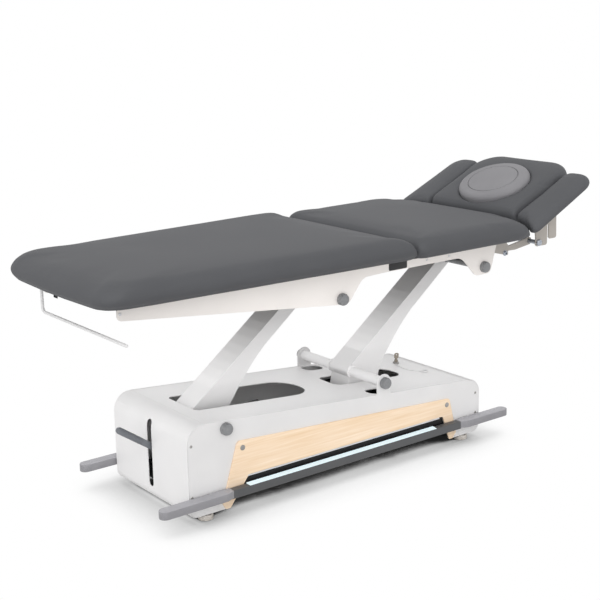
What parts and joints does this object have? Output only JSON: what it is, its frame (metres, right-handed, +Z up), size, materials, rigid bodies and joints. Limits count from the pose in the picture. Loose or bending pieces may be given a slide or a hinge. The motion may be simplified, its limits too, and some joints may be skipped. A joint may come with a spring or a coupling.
{
  "type": "electric physiotherapy table",
  "caption": "Electric physiotherapy table: padded leg, mid and head sections with drop armrests, on a white parallelogram lift above a covered base with foot switch bars.",
  "frame": {"origin": "on the floor under the middle of the table's overall length and width, half-raised with the head section up", "axes": "+X towards the head end, +Y towards the back side as pictured, +Z up"},
  "size_m": [2.0783, 0.744, 0.9572],
  "materials": {
    "white_paint": "satin powder coat, warm white",
    "dark_coating": "matt dark powder coat",
    "dark_plastic": "fine-grained extrusion",
    "grey_axle": "smooth grey end caps on a steel axle",
    "steel": "ground steel",
    "lock_metal": "plated lock barrel",
    "black_plastic": "moulded black plastic",
    "rubber": "matt tread",
    "pale_plastic": "moulded pale grey plastic",
    "wood": "lacquered pale veneer",
    "plywood": "dark stained board",
    "grey_vinyl": "fine-grained vinyl upholstery over foam",
    "pale_vinyl": "fine-grained vinyl upholstery over foam",
    "white_cord": "smooth white sheath"
  },
  "bodies": {
    "base": {"side_plate_front": "white_paint", "side_plate_back": "white_paint", "top_cover": "white_paint", "end_cover_foot": "white_paint", "end_cover_head": "white_paint", "chassis": "dark_coating", "foot_foot_front": "pale_plastic", "foot_foot_back": "pale_plastic", "foot_head_front": "pale_plastic", "foot_head_back": "pale_plastic", "wood_panel_front": "wood", "wood_panel_back": "wood", "lower_axle_foot": "grey_axle", "lower_axle_head": "grey_axle", "spacer_tube_front": "white_paint", "spacer_tube_back": "white_paint", "lift_motor_housing": "black_plastic", "control_box": "black_plastic", "key_lock": "lock_metal", "tether": "white_cord", "tether_anchor": "white_cord"},
    "foot_arm": {"lift_arm_foot": "white_paint"},
    "head_arm": {"lift_arm_head": "white_paint"},
    "lift_rod": {"lift_motor_rod": "steel"},
    "table_frame": {"frame_plate_front": "white_paint", "frame_plate_back": "white_paint", "frame_cross_foot": "dark_coating", "frame_cross_seam": "dark_coating", "frame_cross_head": "dark_coating", "upper_axle_foot": "grey_axle", "upper_axle_head": "grey_axle", "mid_board": "plywood", "mid_cushion": "grey_vinyl", "head_hinge_arm_front": "white_paint", "head_hinge_arm_back": "white_paint", "head_hinge_shaft": "steel"},
    "leg_section": {"leg_frame": "plywood", "leg_cushion": "grey_vinyl", "roll_holder": "white_paint"},
    "head_section": {"head_frame": "dark_coating", "head_cushion": "grey_vinyl"},
    "plug": {"face_plug": "pale_vinyl"},
    "gas_cylinder": {"gas_spring_cylinder": "black_plastic"},
    "gas_rod": {"gas_spring_rod": "steel"},
    "armrest_front": {"armrest_bracket_front": "white_paint", "armrest_cushion_front": "grey_vinyl"},
    "armrest_back": {"armrest_bracket_back": "white_paint", "armrest_cushion_back": "grey_vinyl"},
    "lever": {"castor_lever": "dark_coating"},
    "castor_foot": {"castor_beam_foot": "dark_coating"},
    "castor_head": {"castor_beam_head": "dark_coating"},
    "wheel_foot_front": {"castor_wheel_foot_front": "rubber"},
    "wheel_foot_back": {"castor_wheel_foot_back": "rubber"},
    "wheel_head_front": {"castor_wheel_head_front": "rubber"},
    "wheel_head_back": {"castor_wheel_head_back": "rubber"},
    "switch_front": {"switch_bar_front": "dark_plastic", "switch_carrier_front": "dark_coating"},
    "switch_back": {"switch_bar_back": "dark_plastic", "switch_carrier_back": "dark_coating"},
    "key": {"key": "black_plastic"}
  },
  "joints": [
    {"name": "lift", "type": "hinge", "parent": "base", "child": "foot_arm", "pos_m": [-0.59803, 0, 0.288], "axis": [0, -1, 0], "range_deg": [-33, 28]},
    {"name": "frame_level", "type": "hinge", "parent": "foot_arm", "child": "table_frame", "pos_m": [-0.13606, 0, 0.62698], "axis": [0, -1, 0], "range_deg": [-28.5, 33.5]},
    {"name": "head_arm_swing", "type": "hinge", "parent": "base", "child": "head_arm", "pos_m": [0.05697, 0, 0.3], "axis": [0, -1, 0], "range_deg": [-33.5, 28.5]},
    {"name": "lift_rod_stroke", "type": "slide", "parent": "base", "child": "lift_rod", "axis": [1, 0, 0], "range_m": [-0.056, 0.048]},
    {"name": "leg_raise", "type": "hinge", "parent": "table_frame", "child": "leg_section", "pos_m": [0.00594, 0, 0.75078], "axis": [0, 1, 0], "range_deg": [0, 30]},
    {"name": "head_tilt", "type": "hinge", "parent": "table_frame", "child": "head_section", "pos_m": [0.75994, 0, 0.69998], "axis": [0, -1, 0], "range_deg": [-65, 0]},
    {"name": "armrest_front_drop", "type": "hinge", "parent": "head_section", "child": "armrest_front", "pos_m": [0.75994, 0, 0.69998], "axis": [0, -1, 0], "range_deg": [-25, 0]},
    {"name": "armrest_back_drop", "type": "hinge", "parent": "head_section", "child": "armrest_back", "pos_m": [0.75994, 0, 0.69998], "axis": [0, -1, 0], "range_deg": [-25, 0]},
    {"name": "plug_lift", "type": "slide", "parent": "head_section", "child": "plug", "axis": [-0.4226, 0, 0.9063], "range_m": [0, 0.09]},
    {"name": "gas_swing", "type": "hinge", "parent": "table_frame", "child": "gas_cylinder", "pos_m": [0.50994, 0.1, 0.67998], "axis": [0, -1, 0], "range_deg": [-5.7, 0.1]},
    {"name": "gas_stroke", "type": "slide", "parent": "gas_cylinder", "child": "gas_rod", "axis": [0.9992, 0, -0.0389], "range_m": [-0.051, 0.001]},
    {"name": "castor_lever_press", "type": "hinge", "parent": "base", "child": "lever", "pos_m": [-0.64303, 0, 0.135], "axis": [0, -1, 0], "range_deg": [0, 45]},
    {"name": "castor_foot_drop", "type": "slide", "parent": "base", "child": "castor_foot", "axis": [0, 0, -1], "range_m": [0, 0.0125]},
    {"name": "castor_head_drop", "type": "slide", "parent": "base", "child": "castor_head", "axis": [0, 0, -1], "range_m": [0, 0.0125]},
    {"name": "wheel_foot_front_spin", "type": "hinge", "parent": "castor_foot", "child": "wheel_foot_front", "pos_m": [-0.55003, -0.11, 0.036], "axis": [0, 1, 0], "continuous": true},
    {"name": "wheel_foot_back_spin", "type": "hinge", "parent": "castor_foot", "child": "wheel_foot_back", "pos_m": [-0.55003, 0.11, 0.036], "axis": [0, 1, 0], "continuous": true},
    {"name": "wheel_head_front_spin", "type": "hinge", "parent": "castor_head", "child": "wheel_head_front", "pos_m": [0.34997, -0.11, 0.036], "axis": [0, 1, 0], "continuous": true},
    {"name": "wheel_head_back_spin", "type": "hinge", "parent": "castor_head", "child": "wheel_head_back", "pos_m": [0.34997, 0.11, 0.036], "axis": [0, 1, 0], "continuous": true},
    {"name": "switch_front_press", "type": "hinge", "parent": "base", "child": "switch_front", "pos_m": [-0.11003, -0.165, 0.078], "axis": [1, 0, 0], "range_deg": [-3, 3], "stiffness_Nm_per_rad": 120, "springref_deg": -0.76},
    {"name": "switch_back_press", "type": "hinge", "parent": "base", "child": "switch_back", "pos_m": [-0.11003, 0.165, 0.078], "axis": [1, 0, 0], "range_deg": [-3, 3], "stiffness_Nm_per_rad": 120, "springref_deg": 0.76},
    {"name": "key_turn", "type": "hinge", "parent": "base", "child": "key", "pos_m": [0.39197, 0.088, 0.23141], "axis": [0.0821, 0, 0.9966], "range_deg": [0, 90]}
  ],
  "couplings": [
    {"joint": "frame_level", "follows": "lift", "ratio": -1},
    {"joint": "head_arm_swing", "follows": "lift", "ratio": 1},
    {"joint": "lift_rod_stroke", "follows": "lift", "m_per_rad": 0.0955},
    {"joint": "gas_swing", "follows": "head_tilt", "ratio": 0.085},
    {"joint": "gas_stroke", "follows": "head_tilt", "m_per_rad": 0.0437},
    {"joint": "castor_foot_drop", "follows": "castor_lever_press", "m_per_rad": 0.01528},
    {"joint": "castor_head_drop", "follows": "castor_lever_press", "m_per_rad": 0.01528}
  ]
}
